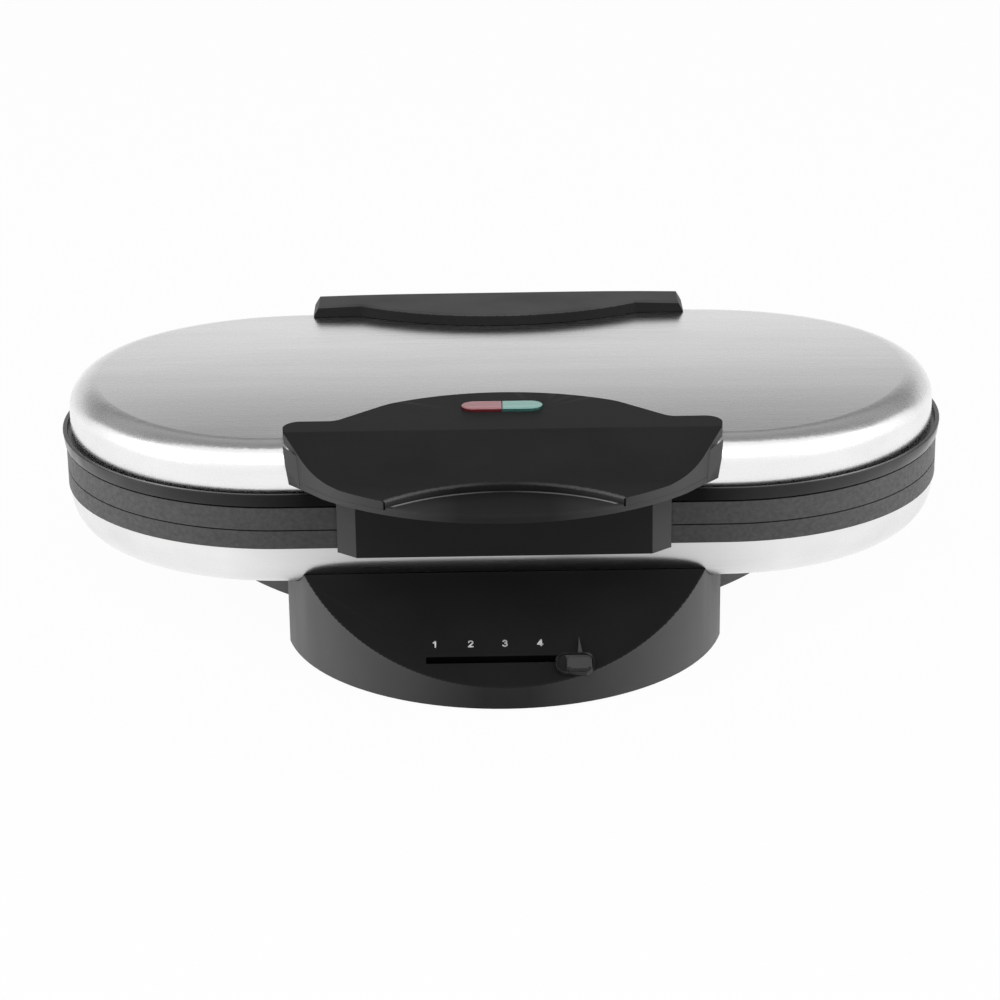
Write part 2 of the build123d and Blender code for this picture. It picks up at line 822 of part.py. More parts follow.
with BuildPart() as lower_shield:
    with BuildSketch(level(lower_back_z - shield_gap - shield_t)):
        SlotCenterToCenter(2 * end_x, 2 * shield_r)
        with Locations(*fixes):
            Circle(boss_r + fit, mode=Mode.SUBTRACT)
        with Locations((slot_x, lever_pivot_y)):
            Circle(probe_r + fit, mode=Mode.SUBTRACT)
    extrude(amount=shield_t)
save(lower_shield, "lower_heat_shield")

with BuildPart() as upper_shield:
    with BuildSketch(level(upper_back_z + shield_gap)):
        SlotCenterToCenter(2 * end_x, 2 * shield_r)
        with Locations(*fixes):
            Circle(screw_r + pin_gap, mode=Mode.SUBTRACT)
    extrude(amount=shield_t)
save(upper_shield, "upper_heat_shield")

for name, z in (
    ("lower_thermal_fuse", lower_back_z - fuse_r - pin_gap),
    ("upper_thermal_fuse", upper_back_z + fuse_r + pin_gap),
):
    with BuildPart() as fuse:
        with BuildSketch(Plane((fuse_x, body_y + fuse_y, z), z_dir=(1, 0, 0))):
            Circle(fuse_r)
        extrude(amount=fuse_l)
    save(fuse, name)

# Base housing: control housing and tray in one moulding, with a deck under the shell

with BuildPart() as base_housing:
    with BuildSketch(level(tray_z)):
        add(base_outline(0))
    extrude(amount=blank_z - tray_z)
    split(bisect_by=panel, keep=Keep.BOTTOM)
    slope = [f for f in base_housing.faces() if f.normal_at().dot(panel.z_dir) > 0.99]
    fillet(slope[0].edges().sort_by(Axis.Y)[:-1], edge_r)
    add(shell_room, mode=Mode.SUBTRACT)

with BuildPart() as base_room:
    with BuildSketch(level(0)):
        add(base_outline(wall))
    extrude(amount=blank_z)
    split(bisect_by=panel.offset(-wall), keep=Keep.BOTTOM)
    add(deck_room, mode=Mode.SUBTRACT)
    with BuildSketch(level(tray_z + cover_t)):
        with Locations(*posts):
            Circle(post_r)
    extrude(amount=blank_z, mode=Mode.SUBTRACT)

with base_housing:
    add(base_room.part, mode=Mode.SUBTRACT)
    with BuildSketch(level(tray_z)):
        with Locations((slot_x, slot_y)):
            RectangleRounded(travel + 2 * slot_end, slot_w, slot_w / 5)
    extrude(amount=blank_z, mode=Mode.SUBTRACT)
    with Locations(*places(fixes, shell_z)):
        Hole(screw_r + pin_gap, depth=2 * wall)
    with Locations(*places([(slot_x, lever_pivot_y)], shell_z)):
        Hole(probe_r + fit, depth=2 * wall)
    with Locations(*places([(0, wire_y)], shell_z)):
        Hole(wire_r, depth=2 * wall)
    with Locations(*[spot * upside_down for spot in places(posts, cover_seat)]):
        Hole(screw_r + pin_gap, depth=cover_screw + end_hole)
    with Locations(*[spot * upside_down for spot in thermostat_screws()]):
        Hole(screw_r + pin_gap, depth=short_screw)
    with Locations(*rear_screws()):
        Hole(screw_r + pin_gap, depth=2 * wall)
    with Locations(Plane((0, body_y + tray_back - 2 * wall, rear_screw_z), z_dir=(0, -1, 0))):
        Hole(wire_r, depth=4 * wall)
save(base_housing, "base_housing")

# Bottom cover with cooling slots and seats for the feet

feet = [(i * foot_front_x, foot_front_y) for i in (-1, 1)]
feet += [(i * foot_rear_x, foot_rear_y) for i in (-1, 1)]
with BuildPart() as bottom_cover:
    with BuildSketch(level(tray_z)):
        add(base_outline(wall + fit))
    extrude(amount=cover_t)
    with BuildSketch(level(tray_z)):
        with Locations((-vent_x, vent_y), (vent_x, vent_y)):
            with GridLocations(0, vent_pitch, 1, vents):
                SlotOverall(vent_l, vent_w)
    extrude(amount=cover_t, mode=Mode.SUBTRACT)
    with BuildSketch(level(tray_z)):
        with Locations(*feet):
            Circle(foot_r + pin_gap)
    extrude(amount=foot_seat, mode=Mode.SUBTRACT)
    with Locations(*[spot * upside_down for spot in places(posts, tray_z)]):
        CounterBoreHole(screw_r + pin_gap, head_r + snug, head_h + snug, depth=2 * cover_t)
save(bottom_cover, "bottom_cover")

with BuildPart() as rubber_feet:
    with BuildSketch(level(0)):
        with Locations(*feet):
            Circle(foot_r)
    extrude(amount=foot_h + foot_seat)
    fillet(rubber_feet.faces().group_by(Axis.Z)[0].edges(), foot_h / 2)
save(rubber_feet, "rubber_feet")

# Rear housing with the hinge ears

with BuildPart() as rear_housing:
    with BuildSketch(level(tray_z)):
        with Locations((0, tray_back + fit)):
            Rectangle(2 * rear_x, rear_wall_y - tray_back - fit, align=(Align.CENTER, Align.MIN))
        fillet(vertices().group_by(Axis.Y)[-1], rear_corner)
    extrude(amount=rear_top_z - tray_z)
    fillet(rear_housing.faces().sort_by(Axis.Z)[-1].edges().sort_by(Axis.Y)[1:], rear_edge)
    for x in (-ear_in - ear_t, ear_in):
        with BuildSketch(section(x)):
            with Locations((hinge_y, hinge_z)):
                Circle(ear_r)
            with Locations((hinge_y, hinge_z)):
                Rectangle(ear_neck, hinge_z - rear_top_z + wall, align=(Align.CENTER, Align.MAX))
        extrude(amount=ear_t)
    add(shell_room, mode=Mode.SUBTRACT)

with BuildPart() as rear_room:
    with BuildSketch(level(tray_z + wall)):
        with Locations((0, tray_back)):
            Rectangle(
                2 * (rear_x - wall), rear_wall_y - wall - tray_back, align=(Align.CENTER, Align.MIN)
            )
        fillet(vertices().group_by(Axis.Y)[-1], rear_corner - wall)
    extrude(amount=rear_top_z - tray_z - 2 * wall)
    add(deck_room, mode=Mode.SUBTRACT)
    with BuildSketch(Plane((0, body_y + tray_back + fit, rear_screw_z), z_dir=(0, 1, 0))):
        with Locations((-rear_screw_x, 0), (rear_screw_x, 0)):
            Circle(post_r)
    extrude(amount=rear_wall_y, mode=Mode.SUBTRACT)

with rear_housing:
    add(rear_room.part, mode=Mode.SUBTRACT)
    with Locations(*rear_screws()):
        Hole(screw_r + pin_gap, depth=rear_screw + end_hole)
    with Locations(Plane((-rear_x, body_y + hinge_y, hinge_z), z_dir=(-1, 0, 0))):
        Hole(pin_r + pin_gap, depth=2 * rear_x)
    with Locations(Plane((gland_x, body_y + rear_wall_y, gland_z), z_dir=(0, 1, 0))):
        Hole(gland_r + pin_gap, depth=2 * wall)
save(rear_housing, "rear_housing")

with BuildPart() as hinge_pins:
    for side in (-1, 1):
        inner = side * (barrel_x - pin_reach)
        with BuildSketch(Plane((inner, body_y + hinge_y, hinge_z), z_dir=(side, 0, 0))):
            Circle(pin_r)
        extrude(amount=ear_in + ear_t - barrel_x + pin_reach)
save(hinge_pins, "hinge_pins")

# Gland, cord clamp and terminal block

with BuildPart() as cord_gland:
    outside = body_y + rear_wall_y
    with BuildSketch(Plane((gland_x, outside - wall - gland_in, gland_z), z_dir=(0, 1, 0))):
        Circle(gland_r)
    extrude(amount=wall + gland_in)
    with BuildSketch(Plane((gland_x, outside, gland_z), z_dir=(0, 1, 0))):
        Circle(gland_flange_r)
    extrude(amount=gland_flange)
    fillet(cord_gland.faces().sort_by(Axis.Y)[-1].edges(), gland_flange / 2)
    with BuildSketch(Plane((gland_x, outside - wall, gland_z), z_dir=(0, -1, 0))):
        Circle(gland_flange_r)
    extrude(amount=gland_flange)
    with Locations(Plane((gland_x, outside + gland_flange, gland_z), z_dir=(0, 1, 0))):
        Hole(gland_bore)
save(cord_gland, "cord_gland")

with BuildPart() as cord_clamp:
    with BuildSketch(level(tray_z + wall)):
        with Locations((gland_x, rear_wall_y - wall - gland_in - fit)):
            Rectangle(clamp_w, clamp_d, align=(Align.CENTER, Align.MAX))
    extrude(amount=clamp_h)
    with Locations(Plane((gland_x, body_y + rear_wall_y, gland_z), z_dir=(0, 1, 0))):
        Hole(gland_bore, depth=rear_wall_y)
save(cord_clamp, "cord_clamp")

with BuildPart() as terminal_block:
    with BuildSketch(level(tray_z + wall)):
        with Locations((0, rear_wall_y - wall - fit)):
            Rectangle(block_w, block_d, align=(Align.CENTER, Align.MAX))
    extrude(amount=block_h)
    with BuildSketch(level(tray_z + wall + block_h)):
        with Locations((0, rear_wall_y - wall - fit - block_d / 2)):
            with GridLocations(block_w / 4, 0, 4, 1):
                Circle(screw_r)
    extrude(amount=-block_h / 2, mode=Mode.SUBTRACT)
save(terminal_block, "terminal_block")

# Thermostat, held under the deck against the plate's boss

with BuildPart() as thermostat:
    with BuildSketch(level(deck_z)):
        with Locations((slot_x, lever_pivot_y)):
            SlotOverall(flange_w, thermo_d / 2)
    extrude(amount=-flange_t)
    with BuildSketch(level(deck_z)):
        with Locations((slot_x, lever_pivot_y)):
            Rectangle(thermo_w, thermo_d)
    extrude(amount=-thermo_h)
    with BuildSketch(level(deck_z - thermo_h)):
        with Locations((slot_x, lever_pivot_y)):
            Circle(bush_r)
    extrude(amount=-bush_h)
    with BuildSketch(level(deck_z - thermo_h / 2)):
        with Locations((slot_x - thermo_w / 4, lever_pivot_y), (slot_x + thermo_w / 4, lever_pivot_y)):
            with Locations((0, (thermo_d + tab_l) / 2)):
                Rectangle(tab_w, tab_l)
    extrude(amount=tab_t)
    with Locations(*[spot * upside_down for spot in places([(slot_x, lever_pivot_y)], lever_z)]):
        Hole(shaft_r + pin_gap, depth=deck_z - thermo_h - lever_z + shaft_in + end_hole)
    with Locations(*thermostat_screws()):
        Hole(screw_r + pin_gap, depth=flange_t + over)
save(thermostat, "thermostat")

# Selector lever: shaft, arm and fork, at its rest angle

with BuildPart() as selector_lever:
    pivot = level(lever_z) * Pos(slot_x, lever_pivot_y, 0) * Rot(0, 0, lever_turn)
    with BuildSketch(Plane(pivot)):
        Circle(lever_w / 2)
        with Locations((0, 0)):
            Rectangle(lever_w, lever_reach, align=(Align.CENTER, Align.MAX))
        with Locations((0, -lever_reach)):
            Rectangle(
                fork_w, lever_reach - fork_start, align=(Align.CENTER, Align.MIN), mode=Mode.SUBTRACT
            )
    extrude(amount=lever_t)
    with BuildSketch(Plane(pivot)):
        Circle(shaft_r)
    extrude(amount=deck_z - thermo_h - lever_z + shaft_in)
save(selector_lever, "selector_lever")

# Slider knob: a dish with a block and a pointer, and a stem that reaches down into the fork

knob_plane = Plane(
    origin=(rest_x, body_y + slot_y, slot_z), x_dir=(1, 0, 0), z_dir=panel_normal
).offset(fit)
with BuildPart() as slider_knob:
    with BuildSketch(knob_plane):
        with Locations((0, -knob_shift)):
            RectangleRounded(knob_w, knob_d, knob_d / 2.5)
    extrude(amount=knob_base + dish_rim)
    with BuildSketch(knob_plane.offset(knob_base)):
        with Locations((0, -knob_shift)):
            RectangleRounded(knob_w - dish_rim, knob_d - dish_rim, (knob_d - dish_rim) / 2.5)
    extrude(amount=dish_rim, mode=Mode.SUBTRACT)
    with BuildSketch(knob_plane):
        with Locations((grip_x, -grip_shift)):
            RectangleRounded(grip_w, grip_d, grip_d / 4)
    extrude(amount=knob_base + grip_h)
    up_panel = Axis(knob_plane.origin, knob_plane.z_dir)
    fillet(slider_knob.faces().sort_by(up_panel)[-1].edges(), grip_round)
    with BuildSketch(knob_plane):
        with BuildLine():
            Polyline(
                (pointer_x - pointer_w / 2, -knob_shift), (pointer_tip_x, pointer_tip),
                (pointer_x + pointer_w / 2, -knob_shift), close=True
            )
        make_face()
    extrude(amount=pointer_t)
    with BuildSketch(level(lever_z)):
        with Locations((rest_x, slot_y)):
            Rectangle(stem_w, stem_t)
    extrude(amount=slot_z + knob_base / 2 + fit - lever_z)
save(slider_knob, "slider_knob")

with BuildPart() as knob_clip:
    with BuildSketch(panel.offset(-wall - fit)):
        with Locations((rest_x, (slot_y - panel_y) / cos(radians(panel_tilt)))):
            Rectangle(clip_w, clip_d)
    extrude(amount=-clip_t)
    with BuildSketch(level(0)):
        with Locations((rest_x, slot_y)):
            Rectangle(stem_w + 2 * pin_gap, stem_t + 2 * pin_gap)
    extrude(amount=blank_z, mode=Mode.SUBTRACT)
save(knob_clip, "knob_clip")

# Screws of the base

screw_set("long_screws", [spot * upside_down for spot in places(fixes, deck_z)], long_screw)
screw_set("cover_screws", [spot * upside_down for spot in places(posts, cover_seat)], cover_screw)
screw_set("rear_screws", rear_screws(), rear_screw)
screw_set("thermostat_screws", thermostat_screws(), short_screw)

# Brackets that join cover, frame and plate, at the front for the handle, at the back for the hinge

for name, side in (("handle_bracket", -1), ("hinge_bracket", 1)):
    with BuildPart() as bracket:
        with BuildSketch(section(-bracket_x)):
            with BuildLine():
                Polyline(
                    (side * leg_y, cover_rim_z),
                    (side * leg_y, bracket_top_z),
                    (side * (leg_y - bracket_t), bracket_top_z),
                    (side * (leg_y - bracket_t), cover_rim_z + bracket_t),
                    (side * (leg_y - bracket_foot), cover_rim_z + bracket_t),
                    (side * (leg_y - bracket_foot), cover_rim_z),
                    close=True
                )
            make_face()
        extrude(amount=2 * bracket_x)
        with Locations(*side_screws(side)):
            Hole(screw_r + pin_gap, depth=2 * bracket_t)
        with Locations(*places(four(bracket_screw_x, bracket_screw_y), bracket_top_z)):
            Hole(screw_r + pin_gap, depth=lid_corner)
    save(bracket, name)

on_brackets = places(four(bracket_screw_x, bracket_screw_y), cover_rim_z + bracket_t)
screw_set("bracket_screws", on_brackets, plate_screw + ledge_t)
screw_set("frame_screws", places([(-end_screw_x, 0), (end_screw_x, 0)], cover_rim_z), plate_screw)
on_shield = places(fixes, upper_back_z + shield_gap + shield_t)
screw_set("shield_screws", on_shield, shield_screw + shield_t)
screw_set("handle_screws", side_screws(-1), side_screw)
screw_set("hinge_screws", side_screws(1), side_screw)

# Handle: a top shell over an air space, and a lower shell with the thumb rest and the apron

with BuildPart() as handle_top:
    with BuildSketch(level(handle_seam_z)):
        add(handle_plan(0, True))
    extrude(amount=handle_blank)
    with BuildSketch(section(-handle_arc)):
        add(handle_side(0))
    extrude(amount=2 * handle_arc, mode=Mode.INTERSECT)
    for facet in facets(0):
        split(bisect_by=facet, keep=Keep.BOTTOM)
    recess_edges = [
        e for e in brinks(handle_top, handle_seam_z)
        if abs(hypot((e @ 0.5).X, (e @ 0.5).Y - body_y - recess_y + recess_r) - recess_r) < snug
    ]
    fillet(recess_edges, recess_edge)

with BuildPart() as handle_room:
    with BuildSketch(level(handle_seam_z)):
        add(handle_plan(wall, True))
    extrude(amount=handle_blank)
    with BuildSketch(section(-handle_arc)):
        add(handle_side(wall))
    extrude(amount=2 * handle_arc, mode=Mode.INTERSECT)
    for facet in facets(wall):
        split(bisect_by=facet, keep=Keep.BOTTOM)
    with BuildSketch(level(handle_seam_z)):
        with Locations((-side_screw_x, -pan_r), (side_screw_x, -pan_r)):
            Rectangle(boss_w, boss_l, align=(Align.CENTER, Align.MAX))
        with Locations((-grip_screw_x, grip_screw_y), (grip_screw_x, grip_screw_y)):
            Circle(2 * screw_r)
    extrude(amount=handle_blank, mode=Mode.SUBTRACT)

with handle_top:
    add(handle_room.part, mode=Mode.SUBTRACT)
    add(lid_room, mode=Mode.SUBTRACT)
    with Locations(*side_screws(-1)):
        Hole(screw_r + pin_gap, depth=side_screw + end_hole)
    with Locations(*[spot * upside_down for spot in grip_screws()]):
        Hole(screw_r + pin_gap, depth=grip_screw + end_hole)
    with BuildSketch(level(lens_z - lens_seat)):
        add(lens_plan(-1, fit / 2))
        add(lens_plan(1, fit / 2))
    extrude(amount=lid_corner, mode=Mode.SUBTRACT)
    with Locations(*places([(-lens_w / 2, lens_y), (lens_w / 2, lens_y)], cover_top_z)):
        Hole(pipe_r + pin_gap, depth=lid_corner)
save(handle_top, "handle_top")

with BuildPart() as handle_base:
    with BuildSketch(level(grip_z)):
        add(handle_plan(0, False))
        with Locations((0, -pan_r - snug)):
            Rectangle(
                4 * handle_arc, handle_arc, align=(Align.CENTER, Align.MIN), mode=Mode.SUBTRACT
            )
    extrude(amount=handle_seam_z - grip_z)
    for facet in facets(0):
        split(bisect_by=facet, keep=Keep.BOTTOM)
    with BuildSketch(level(handle_seam_z)):
        add(recess_plan())
        with Locations((0, handle_arc_y)):
            Circle(handle_arc, mode=Mode.INTERSECT)
            Circle(handle_arc - rim_w, mode=Mode.SUBTRACT)
    extrude(amount=rim_z - handle_seam_z)
    with BuildSketch(level(apron_z)):
        add(apron_plan(0))
    extrude(amount=grip_z - apron_z)
    with BuildSketch(level(apron_z + wall)):
        add(apron_plan(wall))
    extrude(amount=grip_z - apron_z - wall, mode=Mode.SUBTRACT)
    with Locations(*[spot * upside_down for spot in grip_screws()]):
        Hole(screw_r + pin_gap, depth=grip_screw)
save(handle_base, "handle_base")

screw_set("grip_screws", grip_screws(), grip_screw)

# Indicator lenses with their light pipes, and the lamps in a holder under the lid cover

for name, side in (("red_lens", -1), ("green_lens", 1)):
    with BuildPart() as lens:
        with BuildSketch(level(lens_z - lens_seat)):
            add(lens_plan(side, 0))
        extrude(amount=lens_seat + lens_h)
        fillet(lens.faces().sort_by(Axis.Z)[-1].edges(), lens_h / 3)
        with BuildSketch(level(lens_z - lens_seat)):
            with Locations((side * lens_w / 2, lens_y)):
                Circle(pipe_r)
        extrude(amount=-lens_seat - (lens_z - lens_seat - holder_z))
    save(lens, name)

with BuildPart() as lamp_holder:
    with BuildSketch(level(holder_z)):
        with Locations((0, lens_y)):
            RectangleRounded(holder_w, holder_d, wall)
    extrude(amount=-holder_h)
    with Locations(*places([(-lens_w / 2, lens_y), (lens_w / 2, lens_y)], holder_z)):
        Hole(lamp_r + pin_gap, depth=2 * holder_h)
save(lamp_holder, "lamp_holder")

with BuildPart() as neon_lamps:
    with BuildSketch(level(holder_z - fit - lens_seat)):
        with Locations((-lens_w / 2, lens_y), (lens_w / 2, lens_y)):
            Circle(lamp_r)
    extrude(amount=-lamp_l)
save(neon_lamps, "neon_lamps")

# Hinge cover on the back of the lid, in one moulding with the hinge barrel

side_fall = cover_crown_r - sqrt(cover_crown_r**2 - (hinge_cover_x - slant_w) ** 2)
side_top = hinge_cover_z - side_fall
top_x = hinge_cover_x - slant_w
with BuildPart() as hinge_cover:
    with BuildSketch(section(-hinge_cover_x)):
        add(hinge_profile(0))
    extrude(amount=2 * hinge_cover_x)
    with BuildSketch(Plane((0, body_y, 0), x_dir=(1, 0, 0), z_dir=(0, -1, 0))):
        with BuildLine():
            ThreePointArc((-top_x, side_top), (0, hinge_cover_z), (top_x, side_top))
            Polyline(
                (top_x, side_top), (hinge_cover_x, side_top - slant_h), (hinge_cover_x, 0),
                (-hinge_cover_x, 0), (-hinge_cover_x, side_top - slant_h), (-top_x, side_top)
            )
        make_face()
    extrude(amount=-2 * rear_reach, mode=Mode.INTERSECT)
    with BuildSketch(level(0)):
        add(hinge_cover_front())
    extrude(amount=2 * hinge_cover_z, mode=Mode.SUBTRACT)
    for x in (-hinge_cover_x - over, barrel_x):
        with BuildSketch(section(x)):
            with Locations((body_r / 2, 0)):
                Rectangle(body_r, hinge_z + notch_z, align=(Align.MIN, Align.MIN))
        extrude(amount=hinge_cover_x + over - barrel_x, mode=Mode.SUBTRACT)
    add(lid_room, mode=Mode.SUBTRACT)
    duct = side_screw_x - boss_w / 2
    for start, end in ((-duct_x, -duct - boss_w), (duct + boss_w, duct_x)):
        with BuildSketch(section(start)):
            with BuildLine():
                Polyline(
                    (pan_r - wall, lip_z + 2 * wall), (pan_r - wall, hinge_cover_z - 2 * wall),
                    (cover_back_y, hinge_cover_z - 2 * wall), (hinge_y - 2 * wall, lip_z + 4 * wall),
                    (hinge_y - 2 * wall, lip_z + 2 * wall), close=True
                )
            make_face()
        extrude(amount=end - start, mode=Mode.SUBTRACT)
    with BuildSketch(section(-duct)):
        add(hinge_profile(wall))
        with Locations((cover_wing_y + wall, 0)):
            Rectangle(rear_reach, hinge_cover_z, align=(Align.MIN, Align.MIN), mode=Mode.INTERSECT)
        with Locations((pan_r, hinge_z + wall)):
            Rectangle(hinge_y - pan_r, lip_z + 2 * wall - hinge_z, align=(Align.MIN, Align.MIN))
    extrude(amount=2 * duct, mode=Mode.SUBTRACT)
    fillet(brinks(hinge_cover, side_screw_z + spare), cover_edge)
    with Locations(*side_screws(1)):
        Hole(screw_r + pin_gap, depth=side_screw + end_hole)
    for side in (-1, 1):
        with Locations(Plane((side * barrel_x, body_y + hinge_y, hinge_z), z_dir=(side, 0, 0))):
            Hole(pin_r + pin_gap, depth=pin_reach + fit)
save(hinge_cover, "hinge_cover")
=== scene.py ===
import bmesh
import bpy
from math import asin, atan2, cos, hypot, pi, radians, sin
from mathutils import Matrix, Vector


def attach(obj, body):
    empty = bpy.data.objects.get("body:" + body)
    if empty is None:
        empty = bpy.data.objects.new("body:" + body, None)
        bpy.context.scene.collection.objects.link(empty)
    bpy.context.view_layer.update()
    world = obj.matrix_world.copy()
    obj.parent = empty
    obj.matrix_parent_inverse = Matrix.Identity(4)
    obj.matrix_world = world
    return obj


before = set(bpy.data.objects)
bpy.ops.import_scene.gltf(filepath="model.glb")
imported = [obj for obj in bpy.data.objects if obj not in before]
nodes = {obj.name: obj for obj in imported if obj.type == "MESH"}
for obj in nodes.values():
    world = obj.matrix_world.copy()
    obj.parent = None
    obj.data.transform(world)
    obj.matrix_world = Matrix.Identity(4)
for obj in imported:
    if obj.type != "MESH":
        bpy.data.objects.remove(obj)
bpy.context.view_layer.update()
scene = bpy.context.scene

# Places that the source gives, in metres
BODY_Y = 0.010           # middle of the oval body
PANEL_Y = -0.104         # the panel's rear edge
PANEL_Z = 0.0463
PANEL_FRONT_Y = -0.163   # and its front edge
PANEL_FRONT_Z = 0.0113
SLOT_X = -0.001
SLOT_Y = -0.1493
SLOT_WIDTH = 0.0032
SLOT_HALF = 0.0358
KNOB_X = 0.031
GRIP_X = 0.0019          # raised grip, off the middle of the knob's dish
GRIP_W = 0.0114
GRIP_D = 0.0078
GRIP_SHIFT = 0.0056
RIM_LOW = 0.0865         # the handle's rim starts above this
RECESS_X = 0.054         # half width of the thumb recess
RECESS_Y = -0.1295       # its back, at the middle and at its ends
RECESS_SIDE_Y = -0.1499
RECESS_FOOT_Z = 0.0932
RECESS_SAG = RECESS_Y - RECESS_SIDE_Y
RECESS_R = (RECESS_X**2 + RECESS_SAG**2) / (2 * RECESS_SAG)
PANEL_SLOPE = (PANEL_Z - PANEL_FRONT_Z) / (PANEL_Y - PANEL_FRONT_Y)
TILT = atan2(PANEL_Z - PANEL_FRONT_Z, PANEL_Y - PANEL_FRONT_Y)

# A face is a side where its normal points up or down by less than this
STEEP = 0.45


# Camera at the photograph's angle

ELEVATION = 20.687
AZIMUTH = -0.36
ROLL = -0.758
CAMERA_AWAY = 1.5
CAMERA_LENS = 108.45
CAMERA_TARGET = (-0.001077, BODY_Y, 0.040418)


def add_camera():
    elevation, azimuth, roll = radians(ELEVATION), radians(AZIMUTH), radians(ROLL)
    back = Vector((sin(azimuth) * cos(elevation), -cos(azimuth) * cos(elevation), sin(elevation)))
    side = (-back).cross(Vector((0, 0, 1))).normalized()
    up = side.cross(-back)
    x = side * cos(roll) + up * sin(roll)
    y = -side * sin(roll) + up * cos(roll)
    place = Vector(CAMERA_TARGET) + back * CAMERA_AWAY
    data = bpy.data.cameras.new("camera")
    data.sensor_width = 36.0
    data.lens = CAMERA_LENS
    data.clip_end = 60.0
    camera = bpy.data.objects.new("camera", data)
    camera.matrix_world = Matrix((
        (x.x, y.x, back.x, place.x),
        (x.y, y.y, back.y, place.y),
        (x.z, y.z, back.z, place.z),
        (0, 0, 0, 1),
    ))
    scene.collection.objects.link(camera)
    scene.camera = camera


# Materials

def grey(value):
    return (value, value, value)


def bare_material(name):
    """A material with an output node only."""
    material = bpy.data.materials.new(name)
    material.use_nodes = True
    tree = material.node_tree
    tree.nodes.clear()
    return material, tree, tree.nodes.new("ShaderNodeOutputMaterial")


def shader(name):
    """A material with one principled shader."""
    material, tree, out = bare_material(name)
    bsdf = tree.nodes.new("ShaderNodeBsdfPrincipled")
    tree.links.new(bsdf.outputs[0], out.inputs[0])
    return material, tree, bsdf


def place_noise(tree, stretch, detail, roughness=0.55, offset=(0.0, 0.0, 0.0)):
    """Noise that is fixed to the object, finer for a larger stretch."""
    coord = tree.nodes.new("ShaderNodeTexCoord")
    mapping = tree.nodes.new("ShaderNodeMapping")
    mapping.inputs["Scale"].default_value = stretch
    mapping.inputs["Location"].default_value = offset
    tree.links.new(coord.outputs["Object"], mapping.inputs["Vector"])
    noise = tree.nodes.new("ShaderNodeTexNoise")
    noise.inputs["Scale"].default_value = 1.0
    noise.inputs["Detail"].default_value = detail
    noise.inputs["Roughness"].default_value = roughness
    tree.links.new(mapping.outputs["Vector"], noise.inputs["Vector"])
    return noise.outputs["Fac"]


def spread(tree, fac, low, high, start=0.3, end=0.7):
    """Values from low to high where the input goes from start to end."""
    node = tree.nodes.new("ShaderNodeMapRange")
    node.inputs["From Min"].default_value = start
    node.inputs["From Max"].default_value = end
    node.inputs["To Min"].default_value = low
    node.inputs["To Max"].default_value = high
    tree.links.new(fac, node.inputs["Value"])
    return node.outputs["Result"]


def colours(tree, fac, dark, light, start=0.3, end=0.7):
    """Colours from dark to light where the input goes from start to end."""
    ramp = tree.nodes.new("ShaderNodeValToRGB")
    ramp.color_ramp.elements[0].position = start
    ramp.color_ramp.elements[0].color = (*dark, 1.0)
    ramp.color_ramp.elements[1].position = end
    ramp.color_ramp.elements[1].color = (*light, 1.0)
    tree.links.new(fac, ramp.inputs["Fac"])
    return ramp.outputs["Color"]


def shade_toward_middle(tree, shaded_middle, outer, near=0.09, far=0.18):
    """A value that changes from the middle of the long body to its ends, used as painted shade: lowest in
    the middle, next to the handle.
    """
    coord = tree.nodes.new("ShaderNodeTexCoord")
    split = tree.nodes.new("ShaderNodeSeparateXYZ")
    tree.links.new(coord.outputs["Object"], split.inputs[0])
    size = tree.nodes.new("ShaderNodeMath")
    size.operation = "ABSOLUTE"
    tree.links.new(split.outputs["X"], size.inputs[0])
    return spread(tree, size.outputs[0], shaded_middle, outer, near, far)


def shade_by(tree, colour, share):
    """A colour times a grey value."""
    node = tree.nodes.new("ShaderNodeMix")
    node.data_type = "RGBA"
    node.blend_type = "MULTIPLY"
    node.inputs["Factor"].default_value = 1.0
    tree.links.new(colour, node.inputs["A"])
    tree.links.new(share, node.inputs["B"])
    return node.outputs["Result"]


def bump(tree, bsdf, layers):
    """Adds up bump layers, each (fac, strength, distance in metres)."""
    normal = None
    for fac, strength, distance in layers:
        node = tree.nodes.new("ShaderNodeBump")
        node.inputs["Strength"].default_value = strength
        node.inputs["Distance"].default_value = distance
        tree.links.new(fac, node.inputs["Height"])
        if normal is not None:
            tree.links.new(normal, node.inputs["Normal"])
        normal = node.outputs["Normal"]
    tree.links.new(normal, bsdf.inputs["Normal"])


def brushed(name, dark, light, rough, grain, shaded_middle=1.0, near=0.09, far=0.18):
    """Steel brushed along the object's length; where the middle value is below 1, it is darker in the middle
    as painted shade.
    """
    material, tree, bsdf = shader(name)
    fine = place_noise(tree, (14.0, grain, grain), 6.0, 0.6)
    broad = place_noise(tree, (5.0, 60.0, 60.0), 3.0, 0.5, (3.1, 0.7, 0.0))
    colour = shade_by(tree, colours(tree, broad, dark, light), shade_toward_middle(tree, shaded_middle, 1.0, near, far))
    tree.links.new(colour, bsdf.inputs["Base Color"])
    tree.links.new(spread(tree, fine, rough - 0.05, rough + 0.05), bsdf.inputs["Roughness"])
    bsdf.inputs["Metallic"].default_value = 1.0
    bsdf.inputs["Anisotropic"].default_value = 0.6
    bsdf.inputs["Anisotropic Rotation"].default_value = 0.25
    tangent = tree.nodes.new("ShaderNodeTangent")
    tangent.direction_type = "RADIAL"
    tangent.axis = "X"
    tree.links.new(tangent.outputs[0], bsdf.inputs["Tangent"])
    bump(tree, bsdf, [(fine, 0.05, 0.0002), (broad, 0.03, 0.0008)])
    return material


